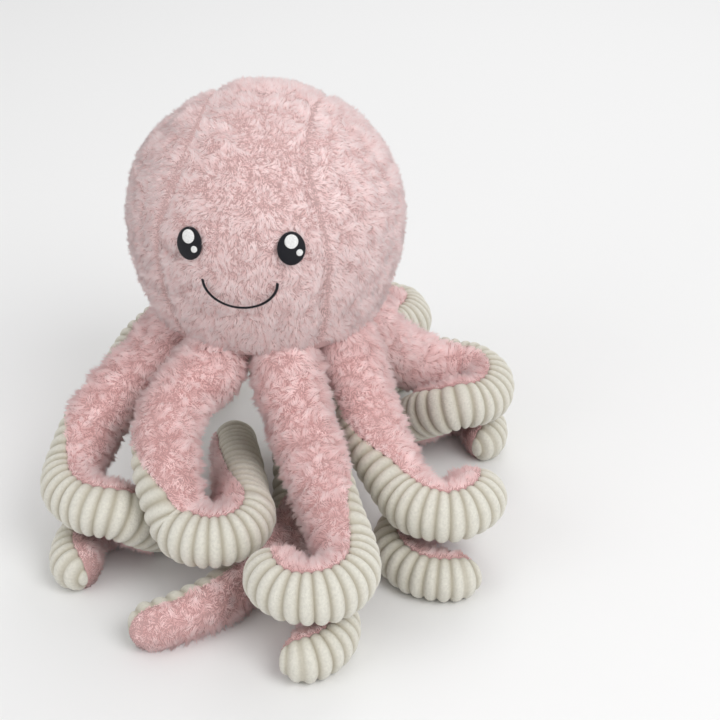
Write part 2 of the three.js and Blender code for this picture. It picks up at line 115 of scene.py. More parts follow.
# Each arm leaves the hem at its azimuth, seen from above with 0 at the face and + to the right
ARMS = [
    dict(name="front_left", azimuth=-22.5, centre=(-9, -178), radius=25, hand=1, join=215,
         lead=35, approach=85, climb=66, turn=165, over=True),
    dict(name="front_right", azimuth=22.5, centre=(78, -222), radius=25, hand=-1, join=30,
         lead=70, approach=60, climb=10, drift=(-9, -15)),
    dict(name="left_fore", azimuth=-67.5, centre=(-106, -138), radius=27, hand=1, join=180,
         lead=30, approach=85, climb=20, grow=10, drift=(18, -26)),
    dict(name="right_fore", azimuth=67.5, centre=(155, -112), radius=28, hand=1, join=220,
         lead=50, approach=55, climb=10, grow=6, drift=(2, -12)),
    dict(name="left_aft", azimuth=-112.5, centre=(-122, 110), radius=43, hand=1, join=15,
         lead=45, approach=25, climb=0),
    dict(name="right_aft", azimuth=112.5, centre=(150, 46), radius=32, hand=-1, join=105,
         lead=45, approach=40, climb=0),
    dict(name="rear_left", azimuth=-157.5, under=[
        (-20, 62, 0.68), (-8, 40, 0.5), (8, 10, 0.4), (23, -22, 0.3), (33, -58, 0.15),
        (38, -100, 0.01), (26, -158, 0), (-8, -220, 0), (-80, -276, 0)]),
    dict(name="rear_right", azimuth=157.5, centre=(64, 160), radius=32, hand=1, join=335,
         lead=45, approach=40, climb=0),
]

# Cloth: pile lengths and spacing, and the ribs of the undersides
HEAD_PILE = 5.0
HEAD_STRANDS = 160000
ARM_PILE = 7.0
ARM_STRAND_AREA = 0.95
STRAND_WIDTH = 0.65
HEAD_TUFT = 18
ARM_TUFT = 40
HEAD_INSET = 5.0
RIB_PITCH = 12
RIB_HEIGHT = 3.0
RIB_SINK = 2.2
RIB_SAMPLES = 11
RIBBED_AT_ROOT = 58
RIBBED_FULL_AT = 150
COVER = 2.0
ROOT_PUFF = 3.0
CREASES = 12
CREASE = 3.0
CREASE_WIDTH = 3.2
CREASE_BOW = 5
HEAD_LUMP = 0.8
HEAD_LUMP_SPAN = 70
ARM_LUMP = 0.6
ARM_LUMP_SPAN = 38
RUFFLE = 0.7
RUFFLE_SPAN = 16
SEAM_SINK = 3.0
SEAM_WIDTH = 2.2
DIMPLE_SINK = 1.6
DIMPLE_WIDTH = 11
STRAND_LOWEST = 0.2
CLOTH_LOWEST = 0.3

# Colours of pile, cloth and thread, 0 to 255. Pile looks deeper, since its strands shade each other. The
# hollow colours, and the roots darker than the tips, are painted shade deep in the pile.
HEAD_TIP = (255, 244, 244)
HEAD_ROOT = (252, 226, 225)
HEAD_HOLLOW_SHADE = (224, 190, 188)
ARM_TIP = (255, 237, 236)
ARM_ROOT = (253, 220, 219)
ARM_HOLLOW_SHADE = (217, 175, 173)
CREAM = (224, 221, 210)
# Painted shade for the grooves between the ribs.
CREAM_GROOVE_SHADE = (180, 172, 153)
NAVY = (20, 20, 27)
WHITE_THREAD = (238, 238, 236)
FIBRE = (244, 242, 238)
FLOOR = (240, 240, 240)

# Lamps: name, place in metres, width and power
LAMPS = [
    ("key", (1.5, -1.2, 2.0), 1.6, 29),
    ("fill", (-1.6, -1.5, 1.4), 1.8, 9),
    ("back", (0.3, 1.8, 1.9), 1.6, 13),
]
LAMPS_AIM = (0, 0, 0.15)
WORLD_LIGHT = 0.62
FLOOR_REACH = 6.0

# Camera, from the body's axis: place, direction and lens
CAMERA_AT = (231.1, -1027, 708)
CAMERA_ALONG = (-0.1295, 0.8563, -0.5)
LENS = 71.85

_low, _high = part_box("base_panel")
AXIS = np.array([(_low.x + _high.x) / 2, (_low.y + _high.y) / 2, 0]) / MM
UP = np.array([0.0, 0.0, 1.0])


def smoothstep(value, low, high):
    t = np.clip((value - low) / (high - low), 0, 1)
    return t * t * (3 - 2 * t)


def unit(vectors):
    return vectors / np.maximum(np.linalg.norm(vectors, axis=-1, keepdims=True), 1e-9)


def linear(colour):
    """A colour of 0 to 255 as linear RGBA."""
    c = np.array(colour) / 255
    c = np.where(c <= 0.04045, c / 12.92, ((c + 0.055) / 1.055) ** 2.4)
    return (*c, 1)


# Materials

def new_material(name, roughness, sheen):
    material = bpy.data.materials.new(name)
    material.use_nodes = True
    shader = material.node_tree.nodes["Principled BSDF"]
    shader.inputs["Roughness"].default_value = roughness
    shader.inputs["Specular IOR Level"].default_value = 0.2
    shader.inputs["Sheen Weight"].default_value = sheen
    shader.inputs["Sheen Roughness"].default_value = 0.5
    return material, material.node_tree, shader


def attribute(tree, name):
    node = tree.nodes.new("ShaderNodeAttribute")
    node.attribute_name = name
    return node.outputs["Fac"]


def mixed(tree, factor, first, second):
    """A colour between two colours or sockets."""
    node = tree.nodes.new("ShaderNodeMix")
    node.data_type = "RGBA"
    tree.links.new(factor, node.inputs["Factor"])
    for socket, value in ((node.inputs[6], first), (node.inputs[7], second)):
        if isinstance(value, tuple):
            socket.default_value = value
        else:
            tree.links.new(value, socket)
    return node.outputs[2]


def noise(tree, scale, detail=2.0):
    where = tree.nodes.new("ShaderNodeTexCoord")
    node = tree.nodes.new("ShaderNodeTexNoise")
    node.inputs["Scale"].default_value = scale
    node.inputs["Detail"].default_value = detail
    tree.links.new(where.outputs["Object"], node.inputs["Vector"])
    return node.outputs["Fac"]


def shade(colour, factor):
    return tuple(min(255, c * factor) for c in colour)


def pile_material(name, hollow_shade, root, tip):
    """Pile with painted shade: darker at the root than at the tip, and darker still in the hollows
    between tufts.
    """
    material, tree, shader = new_material(name, 0.95, 0.35)
    along = mixed(tree, attribute(tree, "along"), linear(root), linear(tip))
    # Painted shade: low-toned strands run from the darker hollow colour at the root, the others from the
    # root colour to the paler tip.
    deep = mixed(tree, attribute(tree, "along"), linear(hollow_shade), linear(root))
    colour = mixed(tree, attribute(tree, "tone_and_shade"), deep, along)
    tree.links.new(colour, shader.inputs["Base Color"])
    shader.inputs["Sheen Tint"].default_value = linear(hollow_shade)
    return material


def cloth_material(name, low, high, scale):
    """Plain backing cloth with soft blotches."""
    material, tree, shader = new_material(name, 0.95, 0.1)
    colour = mixed(tree, noise(tree, scale), linear(low), linear(high))
    tree.links.new(colour, shader.inputs["Base Color"])
    return material


def ribbed_material():
    """Cream ribs with a short nap, deeper in colour in the grooves as painted shade."""
    material, tree, shader = new_material("ribbed_cloth", 0.9, 0.25)
    nap = mixed(tree, noise(tree, 500, 4), linear(shade(CREAM, 0.9)), linear(shade(CREAM, 1.08)))
    colour = mixed(tree, attribute(tree, "rib"), linear(CREAM_GROOVE_SHADE), nap)
    tree.links.new(colour, shader.inputs["Base Color"])
    bump = tree.nodes.new("ShaderNodeBump")
    bump.inputs["Strength"].default_value = 0.6
    bump.inputs["Distance"].default_value = 0.0012
    tree.links.new(noise(tree, 900, 4), bump.inputs["Height"])
    tree.links.new(bump.outputs["Normal"], shader.inputs["Normal"])
    return material


def thread_material(name, colour):
    """Satin thread, a little uneven from stitch to stitch."""
    material, tree, shader = new_material(name, 0.5, 0.1)
    mix = mixed(tree, noise(tree, 700), linear(shade(colour, 0.85)), linear(shade(colour, 1.1)))
    tree.links.new(mix, shader.inputs["Base Color"])
    return material


HEAD_PILE_LOOK = pile_material("head_pile", HEAD_HOLLOW_SHADE, HEAD_ROOT, HEAD_TIP)
ARM_PILE_LOOK = pile_material("arm_pile", ARM_HOLLOW_SHADE, ARM_ROOT, ARM_TIP)
# The backing cloths are darker copies of the painted hollow shade: painted shade where they show between
# the strands and in the seams.
HEAD_CLOTH_SHADED = cloth_material("head_cloth_shaded", shade(HEAD_HOLLOW_SHADE, 0.82), shade(HEAD_HOLLOW_SHADE, 0.9), 60)
ARM_CLOTH_SHADED = cloth_material("arm_cloth_shaded", shade(ARM_HOLLOW_SHADE, 0.85), shade(ARM_HOLLOW_SHADE, 0.95), 60)
RIBBED = ribbed_material()
DARK_THREAD = thread_material("dark_thread", NAVY)
LIGHT_THREAD = thread_material("light_thread", WHITE_THREAD)
FIBRE_LOOK = cloth_material("fibre", shade(FIBRE, 0.95), FIBRE, 120)


# Meshes

def new_piece(name, points, faces, material):
    """An object from points in millimetres and a list of face tables, each with its own width."""
    mesh = bpy.data.meshes.new(name)
    mesh.vertices.add(len(points))
    mesh.vertices.foreach_set("co", np.asarray(points, np.float32).ravel() * MM)
    corners = np.concatenate([f.ravel() for f in faces])
    widths = np.concatenate([np.full(len(f), f.shape[1]) for f in faces])
    mesh.loops.add(len(corners))
    mesh.loops.foreach_set("vertex_index", corners.astype(np.int32))
    mesh.polygons.add(len(widths))
    starts = np.concatenate([[0], np.cumsum(widths)[:-1]])
    mesh.polygons.foreach_set("loop_start", starts.astype(np.int32))
    mesh.polygons.foreach_set("use_smooth", np.full(len(widths), True))
    mesh.update(calc_edges=True)
    mesh.validate()
    mesh.materials.append(material)
    piece = bpy.data.objects.new(name, mesh)
    bpy.context.scene.collection.objects.link(piece)
    return piece


def set_values(piece, name, values):
    layer = piece.data.attributes.new(name, "FLOAT", "POINT")
    layer.data.foreach_set("value", np.asarray(values, np.float32))


def grid_faces(rows, columns, start=0, wrap=False, flip=False):
    """Four-cornered faces between rows of points."""
    i = np.arange(rows - 1)[:, None]
    j = np.arange(columns if wrap else columns - 1)[None]
    k = (j + 1) % columns
    a, b = i * columns + j, i * columns + k
    c, d = b + columns, a + columns
    order = (d, c, b, a) if flip else (a, b, c, d)
    return start + np.stack([np.broadcast_to(x, a.shape) for x in order], -1).reshape(-1, 4)


def shell(outer, inner):
    """Points and faces of a closed sheet from its outer and inner grids, which match."""
    rows, columns = outer.shape[:2]
    count = rows * columns
    points = np.concatenate([outer.reshape(-1, 3), inner.reshape(-1, 3)])
    index = np.arange(count).reshape(rows, columns)
    rim = np.concatenate([index[0, :-1], index[:-1, -1], index[-1, :0:-1], index[:0:-1, 0]])
    after = np.roll(rim, -1)
    edge = np.stack([after, rim, rim + count, after + count], -1)
    faces = [grid_faces(rows, columns), grid_faces(rows, columns, count, flip=True), edge]
    return points, faces


def strands(name, roots, normals, along, length, tone_and_shade, material):
    """Pile as closed slim spikes. Along is the way each strand points, and the tone 0 to 1 its colour:
    random from tuft to tuft, and low where painted shade darkens it.
    """
    count = len(roots)
    along = unit(along)
    side = unit(np.cross(along, normals))
    across = np.cross(side, along)
    turns = 2 * np.pi * (np.arange(3) / 3 + 1 / 12)
    wide = (STRAND_WIDTH / 2) * RNG.uniform(0.8, 1.2, count)[:, None, None]
    ring = np.cos(turns)[None, :, None] * side[:, None] + np.sin(turns)[None, :, None] * across[:, None]
    base = roots[:, None] + wide * ring
    tip = roots + along * length[:, None]
    points = np.concatenate([base, tip[:, None]], 1).reshape(-1, 3)
    points[:, 2] = np.maximum(points[:, 2], STRAND_LOWEST)
    first = 4 * np.arange(count)[:, None]
    pattern = np.array([[1, 0, 3], [2, 1, 3], [0, 2, 3], [0, 1, 2]])
    faces = (first[:, None] + pattern[None]).reshape(-1, 3)
    piece = new_piece(name, points, [faces], material)
    set_values(piece, "along", np.tile([0, 0, 0, 1.0], count))
    set_values(piece, "tone_and_shade", np.repeat(tone_and_shade, 4))
    soft = unit(normals[:, None] + 0.9 * np.concatenate([ring, along[:, None]], 1))
    piece.data.normals_split_custom_set_from_vertices(soft.reshape(-1, 3))
    cells = math.ceil(math.sqrt(count))
    place = np.stack([np.arange(count) % cells, np.arange(count) // cells], -1)
    corner = np.array([[0.1, 0.1], [0.9, 0.1], [0.5, 0.35], [0.5, 0.9]])
    uv = (place[:, None] + corner[None]).reshape(-1, 2) / cells
    piece.visible_shadow = False
    piece.data.uv_layers.new(name="OFBake").data.foreach_set("uv", uv[faces].astype(np.float32).ravel())
    return piece


def tufted(roots, along, length, strands_in_tuft):
    """Draws strands together into tufts, which are lower at their edges and deeper in colour there as
    painted shade; each tuft also has its own random tone.
    """
    count = len(roots) // strands_in_tuft
    reach = math.sqrt(0.45 * strands_in_tuft)
    tree = KDTree(count)
    for k, middle in enumerate(roots[RNG.choice(len(roots), count, replace=False)]):
        tree.insert(middle, k)
    tree.balance()
    found = [tree.find(root)[1:] for root in roots]
    which = np.array([k for k, _ in found])
    edge = np.clip(np.array([apart for _, apart in found]) / reach, 0, 1) ** 2
    length = length * (1.1 - 0.35 * edge) * RNG.uniform(0.85, 1.15, count)[which]
    tips = roots + along * length[:, None]
    many = np.maximum(np.bincount(which, minlength=count), 1)
    middle = np.stack([np.bincount(which, tips[:, k], count) / many for k in range(3)], -1)
    middle = middle + RNG.normal(0, 1.0, (count, 3))
    drawn = tips + RNG.uniform(0.25, 0.7, len(roots))[:, None] * (middle[which] - tips)
    # Random tone per tuft and strand, less painted shade towards each tuft's edge.
    tone_and_shade = RNG.uniform(0.5, 1.2, count)[which] - 0.6 * edge + RNG.normal(0, 0.15, len(roots))
    return unit(drawn - roots), length, np.clip(tone_and_shade, 0, 1)


def waves(count, size, scale):
    """A soft random height over points: a sum of waves of mixed length, about scale apart."""
    ways = unit(RNG.normal(0, 1, (count, 3)))
    ways = ways * (2 * np.pi / (scale * RNG.uniform(0.6, 1.8, (count, 1))))
    starts = RNG.uniform(0, 2 * np.pi, count)
    return lambda points: size * np.sin(points @ ways.T + starts).sum(-1) / math.sqrt(count)


def ruffle(points, first, second):
    """The way that brushed pile leans, which changes over the cloth from place to place."""
    one = waves(12, RUFFLE, RUFFLE_SPAN)(points)[:, None]
    two = waves(12, RUFFLE, RUFFLE_SPAN)(points)[:, None]
    return first * one + second * two


# Head

def head_radius(height):
    crown = HEAD_RADIUS * np.sqrt(np.clip(1 - (height / HEAD_RISE) ** 2, 0, 1))
    share = np.cos((np.pi / 2) * np.clip(-height / HEM_DROP, 0, 1))
    cheek = HEM_RADIUS + (HEAD_RADIUS - HEM_RADIUS) * np.clip(share, 0, 1) ** HEM_TUCK
    return np.where(height >= 0, crown, cheek)


def strip_width(height):
    share = np.sin((np.pi / 2) * np.clip(height / HEAD_RISE, 0, 1))
    crown = STRIP_AT_EQUATOR + (STRIP_AT_CROWN - STRIP_AT_EQUATOR) * share ** 2
    cheek = STRIP_AT_EQUATOR + (STRIP_AT_HEM - STRIP_AT_EQUATOR) * (height / HEM_DROP) ** 2
    return np.where(height >= 0, crown, cheek)


def head_line(count):
    """Heights and radii of the head's outline from hem to crown, evenly spaced along it."""
    low = np.linspace(-HEM_DROP, 0, 400)
    high = HEAD_RISE * np.sin(np.linspace(0, np.pi / 2, 400))
    height = np.concatenate([low, high[1:]])
    radius = head_radius(height)
    step = np.hypot(np.diff(height), np.diff(radius))
    way = np.concatenate([[0], np.cumsum(step)])
    even = np.linspace(0, way[-1], count)
    return np.interp(even, way, height), np.interp(even, way, radius)


def seam_distance(points):
    """Distance from the head's seams, for points from the body's axis with height above the equator."""
    x, y, height = points.T
    long_seam = np.abs(np.abs(x) - strip_width(height))
    cross_seam = np.where(np.abs(x) < strip_width(height), np.abs(y), 99)
    return np.minimum(long_seam, np.where(height > 0, cross_seam, 99))


def from_seam(points, apart):
    """The way that pile leans beside a long seam, away from it."""
    x, _, height = points.T
    way = np.sign(x) * np.sign(np.abs(x) - strip_width(height))
    return np.stack([way * np.exp(-(apart / 4) ** 2), 0 * x, 0 * x], -1)


HEAD_LUMPS = waves(8, HEAD_LUMP, HEAD_LUMP_SPAN)


def head_skin(azimuth, height, radius):
    """Points of the head's cloth and their normals, with the seams drawn in."""
    step = 0.5
    slope = (head_radius(height + step) - head_radius(height - step)) / (2 * step)
    slope = np.clip(slope, -20, 20)
    out = np.stack([np.sin(azimuth), -np.cos(azimuth), np.zeros_like(azimuth)], -1)
    normal = unit(out - slope[..., None] * UP)
    points = out * radius[..., None] + height[..., None] * UP
    flat = points.reshape(-1, 3)
    apart = seam_distance(flat)
    seam = SEAM_SINK * np.exp(-(apart / SEAM_WIDTH) ** 2)
    dimple = DIMPLE_SINK * np.exp(-(apart / DIMPLE_WIDTH) ** 2)
    sunk = HEAD_INSET + seam + dimple - HEAD_LUMPS(flat)
    points = points - normal * sunk.reshape(height.shape)[..., None]
    return points, normal


def on_head(points):
    return points + AXIS + EQUATOR * UP


def make_head():
    """The sewn cover with its base, the pile of its four panels and the filling."""
    rows, columns = 150, 240
    height, radius = head_line(rows)
    height[-1] = HEAD_RISE - 0.02
    radius[-1] = head_radius(height[-1:])[0]
    azimuth = np.linspace(0, 2 * np.pi, columns, endpoint=False)
    grid = np.broadcast_arrays(azimuth[None], height[:, None], radius[:, None])
    points, _ = head_skin(*grid)
    slope = 1 / math.tan(ROOT_DIP)
    rim = HEM_RADIUS - HEAD_INSET
    below = []
    for share in np.linspace(0.04, 0.97, 12):
        r = rim * share
        out = np.stack([np.sin(azimuth), -np.cos(azimuth), np.zeros(columns)], -1)
        below.append(out * r + UP * (-HEM_DROP - slope * (HEM_RADIUS - r)))
    points = np.concatenate([np.array(below), points])
    count = len(points)
    cap = np.arange(columns)
    faces = [grid_faces(count, columns, wrap=True), cap[None, ::-1], cap[None] + (count - 1) * columns]
    cover = new_piece("head_cover", on_head(points.reshape(-1, 3)), faces, HEAD_CLOTH_SHADED)
    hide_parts("head_front_panel", "head_back_panel", "head_left_panel",
                "head_right_panel", "base_panel")
    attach(cover, "head")
    make_head_pile()
    filling = new_piece("head_fibre", on_head(0.96 * points.reshape(-1, 3)), faces, FIBRE_LOOK)
    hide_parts("head_filling")
    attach(filling, "head")


def under_eye(azimuth, height):
    """True where an eye covers the pile."""
    turn = np.degrees((azimuth + np.pi) % (2 * np.pi) - np.pi) - FACE_TURN
    hidden = np.zeros(len(turn), bool)
    for sign in (-1, 1):
        aside = np.radians(turn - sign * EYE_AZIMUTH) * head_radius(np.full(1, EYE_HEIGHT))[0]
        oval = (aside / (EYE_SIZE[0] / 2 - 1)) ** 2 + ((height - EYE_HEIGHT) / (EYE_SIZE[1] / 2 - 1)) ** 2
        hidden |= oval < 1
    return hidden


def make_head_pile():
    """Short pile that lies down the head, parted at the seams."""
    height, radius = head_line(3000)
    pick = RNG.choice(len(height), HEAD_STRANDS, p=(radius + 0.3) / (radius + 0.3).sum())
    azimuth = RNG.uniform(0, 2 * np.pi, HEAD_STRANDS)
    keep = ~under_eye(azimuth, height[pick])
    pick, azimuth = pick[keep], azimuth[keep]
    roots, normal = head_skin(azimuth, height[pick], radius[pick])
    down = unit(-UP + normal * normal[:, 2:])
    apart = seam_distance(roots)
    lean = 0.5 * down + ruffle(roots, down, np.cross(normal, down)) + from_seam(roots, apart)
    along = unit(normal + 0.95 * lean + RNG.normal(0, 0.2, roots.shape))
    length = HEAD_PILE * RNG.uniform(0.75, 1.15, len(roots)) * (0.25 + 0.75 * smoothstep(apart, 0.3, 3.4))
    along, length, tone_and_shade = tufted(roots, along, length, HEAD_TUFT)
    # Painted shade: the pile darkens towards the seams, where it parts.
    tone_and_shade = tone_and_shade * smoothstep(apart, 0.2, 2.4)
    middle = np.abs(roots[:, 0]) < strip_width(roots[:, 2])
    panels = {"front": middle & (roots[:, 1] < 0), "back": middle & (roots[:, 1] >= 0),
              "left": ~middle & (roots[:, 0] < 0), "right": ~middle & (roots[:, 0] >= 0)}
    for name, part in panels.items():
        piece = strands(f"head_{name}_pile", on_head(roots[part]), normal[part], along[part],
                        length[part], tone_and_shade[part], HEAD_PILE_LOOK)
        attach(piece, "head")


# Face

def on_face(turn, height, proud):
    """Points on the face from degrees round, height above the equator and distance out."""
    angle = np.radians(turn + FACE_TURN)
    r = head_radius(np.asarray(height, float)) + proud
    return on_head(np.stack([r * np.sin(angle), -r * np.cos(angle), height * np.ones_like(r)], -1))


def stitched_oval(name, node, turn, height, size, low, thick, material):
    """An oval of satin stitch: rows of thread across, a little domed."""
    wide, tall = size
    threads = max(5, round(tall / THREAD))
    rows, columns = threads * 6 + 1, 17
    v = np.linspace(-0.995, 0.995, rows)[:, None]
    u = np.linspace(-1, 1, columns)[None]
    half = np.sqrt(1 - v ** 2)
    aside = (wide / 2) * half * u * (1 + 0.02 * np.sin(threads * np.pi * v))
    rise = (tall / 2) * v + 0 * u
    dome = np.sqrt(np.clip(1 - (half * u) ** 2 - v ** 2, 0, 1)) ** 0.6
    ridge = np.abs(np.sin(threads * np.pi / 2 * (v + 1)))
    per_mm = np.degrees(1 / head_radius(np.full(1, height))[0])
    outer = on_face(turn + aside * per_mm, height + rise, low + thick * dome + 0.22 * ridge * dome)
    inner = on_face(turn + aside * per_mm, height + rise, low - 1.0 + 0 * dome)
    piece = new_piece(name, *shell(outer, inner), material)
    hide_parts(node)
    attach(piece, "head")


def make_face():
    per_mm = math.degrees(1 / HEAD_RADIUS)
    for side, sign in (("left", -1), ("right", 1)):
        turn = sign * EYE_AZIMUTH
        stitched_oval(f"{side}_eye_stitching", f"{side}_eye", turn, EYE_HEIGHT, EYE_SIZE,
                      EYE_LOW, EYE_THICK, DARK_THREAD)
        stitched_oval(f"{side}_shine_stitching", f"{side}_eye_shine", turn, EYE_HEIGHT + SHINE_RISE,
                      SHINE_SIZE, SHINE_LOW, SHINE_THICK, LIGHT_THREAD)
        stitched_oval(f"{side}_spark_stitching", f"{side}_eye_spark", turn + SPARK_ASIDE * per_mm,
                      EYE_HEIGHT - SPARK_DROP, SPARK_SIZE, SHINE_LOW, SHINE_THICK, LIGHT_THREAD)
    make_smile(per_mm)


def make_smile(per_mm):
    """The smile: short slanted stitches side by side along part of an oval."""
    rings, sides = 7, 8
    points, faces = [], []
    bend = np.radians(np.linspace(-90, 90, SMILE_STITCHES))
    ball = np.linspace(-1, 1, rings)[:, None]
    round_it = np.sqrt(1 - 0.96 * ball ** 2)
    angle = np.linspace(0, 2 * np.pi, sides, endpoint=False)[None]
    for k, b in enumerate(bend):
        tangent = np.array([SMILE_HALF_WIDTH * math.cos(b), SMILE_DEPTH * math.sin(b)])
        tangent /= np.linalg.norm(tangent)
        across = np.array([-tangent[1], tangent[0]])
        thread = unit(across + 0.55 * tangent)
        beside = np.array([-thread[1], thread[0]])
        middle = np.array([SMILE_HALF_WIDTH * math.sin(b), SMILE_HEIGHT - SMILE_DEPTH * math.cos(b)])
        long_way = (SMILE_LINE / 2) * ball * np.ones_like(angle)
        short_way = 0.62 * round_it * np.cos(angle)
        proud = 0.7 + 0.75 * round_it * np.sin(angle)
        flat = middle + long_way[..., None] * thread + short_way[..., None] * beside
        points.append(on_face(flat[..., 0] * per_mm, flat[..., 1], proud).reshape(-1, 3))
        start = k * rings * sides
        faces.append(grid_faces(rings, sides, start, wrap=True))
    cap = np.arange(sides)[None]
    starts = (rings * sides) * np.arange(SMILE_STITCHES)[:, None]
    caps = [starts + cap[:, ::-1], starts + cap + (rings - 1) * sides]
    faces = [np.concatenate(faces), *caps]
    piece = new_piece("smile_stitching", np.concatenate(points), faces, DARK_THREAD)
    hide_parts("smile")
    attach(piece, "head")


# Arms

CHORD = 2 * math.sin(math.pi / len(ARMS))
ROOT_RADIUS = ROOT_FILL * (CHORD * HEM_RADIUS - SEAM_GAP) / (2 + CHORD * math.sin(ROOT_DIP))


def arm_radius(along):
    share = np.asarray(along, float) / ARM_LENGTH
    root = ROOT_RADIUS + (ARM_RADIUS - ROOT_RADIUS) * smoothstep(share, 0, SWELL_AT)
    leg = ARM_RADIUS + (CURL_RADIUS - ARM_RADIUS) * smoothstep(share, SWELL_AT, CURL_AT)
    curl = CURL_RADIUS + (TIP_RADIUS - CURL_RADIUS) * smoothstep(share, CURL_AT, 1)
    return np.where(share < SWELL_AT, root, np.where(share < CURL_AT, leg, curl))


def lying_height(along):
    return arm_radius(along) * FLAT - FLOOR_CUT


def curl_rise(turns_left):
    whole = math.floor(turns_left)
    drop = smoothstep(turns_left - whole, LEVEL_TURN, 1)
    return (2 * CURL_RADIUS + TURN_GAP) * (whole + drop)


def root_of(arm):
    angle = math.radians(arm["azimuth"])
    out = np.array([math.sin(angle), -math.cos(angle), 0])
    heading = out * math.cos(ROOT_DIP) - UP * math.sin(ROOT_DIP)
    below = -out * math.sin(ROOT_DIP) - UP * math.cos(ROOT_DIP)
    start = out * HEM_RADIUS + UP * HEM_HEIGHT + below * ROOT_RADIUS + heading * SEAM_GAP
    return out, heading, below, start


def curl_length(arm, turns):
    return 2 * math.pi * turns * (arm["radius"] + arm.get("grow", 0) * turns / 2)


def curled_route(arm, root, turns):
    """Points of a curled arm, a curve from the hem and then turns, and the curve's length."""
    _, heading, _, start = root
    join = math.radians(arm["join"])
    drift = arm.get("drift", (0, 0))
    limit = math.radians(arm["turn"]) if "turn" in arm else 2 * math.pi * turns
    leg_length = ARM_LENGTH - curl_length(arm, turns)

    def at(angle):
        turned = angle / (2 * math.pi)
        phi = join + arm["hand"] * angle
        radius = arm["radius"] + arm.get("grow", 0) * turned
        along = leg_length + curl_length(arm, turned)
        resting = lying_height(along) + curl_rise(turns - turned)
        raised = 2 * CURL_RADIUS + arm_radius(along) + TURN_GAP
        return np.array([arm["centre"][0] + drift[0] * turned + radius * math.cos(phi),
                         arm["centre"][1] + drift[1] * turned + radius * math.sin(phi),
                         raised if arm.get("over") else resting])

    entry = at(0)
    entering = unit(at(TANGENT_STEP) - entry)
    handle = entry - entering * arm["approach"] + UP * arm["climb"]
    t = np.linspace(0, 1, 401)[:, None]
    leg = (start * (1 - t) ** 3 + 3 * (start + heading * arm["lead"]) * t * (1 - t) ** 2
           + 3 * handle * t ** 2 * (1 - t) + entry * t ** 3)
    way = np.concatenate([[0], np.cumsum(np.linalg.norm(np.diff(leg, axis=0), axis=1))])
    spaced = np.linspace(0, way[-1], LEG_POINTS + 1)
    points = list(np.stack([np.interp(spaced, way, leg[:, k]) for k in range(3)], -1))
    points += [at(angle) for angle in np.arange(CURL_STEP, limit, CURL_STEP)]
    end = at(limit)
    leaving = unit(end - at(limit - TANGENT_STEP))
    points.append(end)
    tail = ARM_LENGTH - way[-1] - limit * arm["radius"] if "turn" in arm else CURL_RADIUS
    fall = lying_height(ARM_LENGTH) - end[2] if "turn" in arm else 0
    for i in range(1, TAIL_POINTS + 1):
        points.append(end + (leaving * tail + UP * fall) * (i / TAIL_POINTS))
    return np.array(points), way[-1]


def tucked_route(arm, root):
    """Points of the arm that runs below the head and out at the front."""
    _, heading, _, start = root
    points = [start, start + heading * ROOT_RADIUS / 2]
    along = ROOT_RADIUS
    for x, y, share in arm["under"]:
        along += math.hypot(x - points[-1][0], y - points[-1][1])
        low = float(lying_height(min(ARM_LENGTH, along + HEM_HEIGHT)))
        points.append(np.array([x, y, low + (HEM_HEIGHT - low) * share]))
    return np.array(points), None


def route_of(arm, root):
    if "under" in arm:
        return tucked_route(arm, root)
    turns = 1
    for _ in range(LENGTH_PASSES):
        points, leg = curled_route(arm, root, turns)
        turns *= (ARM_LENGTH - leg) / curl_length(arm, turns)
    return points, leg


def smooth_line(points, fine=60):
    """A smooth curve through points, after Catmull and Rom, with the distance along it."""
    ends = [2 * points[0] - points[1], *points, 2 * points[-1] - points[-2]]
    p = np.array(ends)
    gap = np.sqrt(np.linalg.norm(np.diff(p, axis=0), axis=1))
    t = np.linspace(0, 1, fine, endpoint=False)[:, None]
    line = []
    for i in range(1, len(p) - 2):
        before, here, after = gap[i - 1], gap[i], gap[i + 1]
        one = here * ((p[i] - p[i - 1]) / before - (p[i + 1] - p[i - 1]) / (before + here)
                      + (p[i + 1] - p[i]) / here)
        two = here * ((p[i + 1] - p[i]) / here - (p[i + 2] - p[i]) / (here + after)
                      + (p[i + 2] - p[i + 1]) / after)
        line.append(p[i] + one * t + (-3 * p[i] + 3 * p[i + 1] - 2 * one - two) * t ** 2
                    + (2 * p[i] - 2 * p[i + 1] + one + two) * t ** 3)
    line = np.concatenate([*line, p[-2:-1]])
    way = np.concatenate([[0], np.cumsum(np.linalg.norm(np.diff(line, axis=0), axis=1))])
    return line, way


